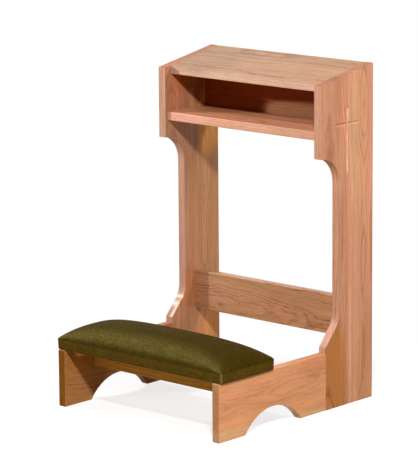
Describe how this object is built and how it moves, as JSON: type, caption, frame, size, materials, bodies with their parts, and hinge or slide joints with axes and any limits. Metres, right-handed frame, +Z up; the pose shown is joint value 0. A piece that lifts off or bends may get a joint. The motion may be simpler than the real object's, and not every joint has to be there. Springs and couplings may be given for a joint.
{
  "type": "prie-dieu kneeling desk",
  "caption": "Oak prie-dieu: shaped side panels carry a sloped desk top, an open book compartment, a low stretcher and an upholstered kneeling pad.",
  "frame": {"origin": "on the floor, under the middle of the object's bounding box", "axes": "+Z up, +X to the right as seen from the front, -Y towards the person who kneels (the kneeling pad's side)"},
  "size_m": [0.548, 0.572, 0.842],
  "materials": {
    "oak_side": "satin",
    "oak_board": "satin",
    "birch_ply": "matte",
    "beech_dowel": "matte",
    "pad_foam": "matte",
    "pad_cloth": "matte",
    "screw_steel": "satin"
  },
  "bodies": {
    "root": {"left_upright": "oak_side", "right_upright": "oak_side", "left_foot_board": "oak_side", "right_foot_board": "oak_side", "desk_top": "oak_board", "book_shelf": "oak_board", "compartment_back": "oak_board", "back_stretcher": "oak_board", "kneeler_rail": "oak_board", "left_cleat": "oak_board", "right_cleat": "oak_board", "pad_board": "birch_ply", "pad_foam": "pad_foam", "pad_cover": "pad_cloth", "pad_screws": "screw_steel", "cleat_screws": "screw_steel", "foot_joint_dowels": "beech_dowel", "stretcher_dowels": "beech_dowel", "rail_dowels": "beech_dowel", "shelf_dowels": "beech_dowel", "desk_dowels": "beech_dowel", "back_dowels": "beech_dowel"}
  },
  "joints": []
}
